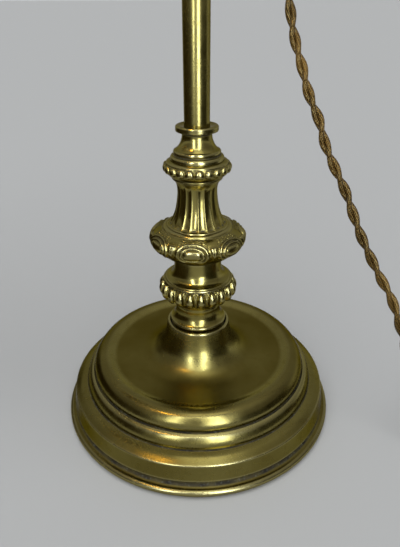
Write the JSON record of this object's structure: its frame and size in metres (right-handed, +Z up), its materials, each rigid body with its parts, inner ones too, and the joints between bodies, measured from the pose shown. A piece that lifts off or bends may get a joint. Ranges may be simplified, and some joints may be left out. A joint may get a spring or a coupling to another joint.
{
  "type": "tulip table lamp",
  "caption": "Brass table lamp with a weighted stepped base, carved column, plain stem, swan-neck swing arm, tilting tulip glass shade and twisted cloth flex.",
  "frame": {"origin": "centre of the felt under the base, on the table", "axes": "+Z up along the stem, -X along the swan neck to the lampholder, -Y towards the viewer of the picture"},
  "size_m": [0.4297, 0.188, 0.4711],
  "materials": {
    "aged_brass": "satin, darkened with age, grime in the grooves",
    "worn_brass": "smoother and brighter where hands rub it",
    "cast_iron": "rough cast",
    "steel": "plain turned steel",
    "felt": "pressed wool",
    "flex": "braided cloth over two twisted cores",
    "strap": "woven strap",
    "bakelite": "polished brown moulding",
    "fibre": "pressed fibre",
    "porcelain": "glazed white",
    "shade_glass": "frosted, clearer towards the rim",
    "pearl_glass": "pearl"
  },
  "bodies": {
    "stand": {"base_felt": "felt", "base_shell": "aged_brass", "base_weight": "cast_iron", "base_washer": "steel", "base_nut": "steel", "tie_rod": "steel", "column_foot": "aged_brass", "lower_collar": "aged_brass", "leaf_knop": "aged_brass", "fluted_neck": "aged_brass", "upper_collar": "aged_brass", "stem_cap": "aged_brass", "stem": "worn_brass", "head": "aged_brass", "swing_washer": "fibre", "cord_bush": "bakelite", "cord_drop": "flex", "cord_coil": "flex", "cord_tie": "strap", "plug_relief": "bakelite", "plug_body": "bakelite", "plug_pins": "worn_brass"},
    "swing_arm": {"arm_pivot": "aged_brass", "swan_neck": "worn_brass", "arm_wire": "flex", "knuckle_fork": "aged_brass", "knuckle_pin": "worn_brass"},
    "swing_lock": {"lock_screw": "worn_brass"},
    "tilt_knob": {"knuckle_knob": "worn_brass"},
    "shade_head": {"knuckle_tongue": "aged_brass", "holder_cap": "aged_brass", "holder_body": "worn_brass", "holder_core": "porcelain", "holder_plungers": "worn_brass", "shade_gallery": "aged_brass", "shade_ring": "worn_brass", "gallery_screws": "worn_brass", "tulip_shade": "shade_glass", "bulb_cap": "worn_brass", "bulb_glass": "pearl_glass"},
    "switch": {"switch_bar": "worn_brass"}
  },
  "joints": [
    {"name": "arm_swing", "type": "hinge", "parent": "stand", "child": "swing_arm", "pos_m": [0, 0, 0.371], "axis": [0, 0, 1], "range_deg": [-100, 100]},
    {"name": "lock_turn", "type": "hinge", "parent": "stand", "child": "swing_lock", "pos_m": [0, -0.02, 0.3701], "axis": [0, -1, 0], "range_deg": [0, 180]},
    {"name": "shade_tilt", "type": "hinge", "parent": "swing_arm", "child": "shade_head", "pos_m": [-0.144, 0, 0.3721], "axis": [0, 1, 0], "range_deg": [-15, 60]},
    {"name": "knob_turn", "type": "hinge", "parent": "swing_arm", "child": "tilt_knob", "pos_m": [-0.144, -0.01, 0.3721], "axis": [0, -1, 0], "range_deg": [0, 180]},
    {"name": "switch_push", "type": "slide", "parent": "shade_head", "child": "switch", "axis": [0, 1, 0], "range_m": [0, 0.008]}
  ]
}
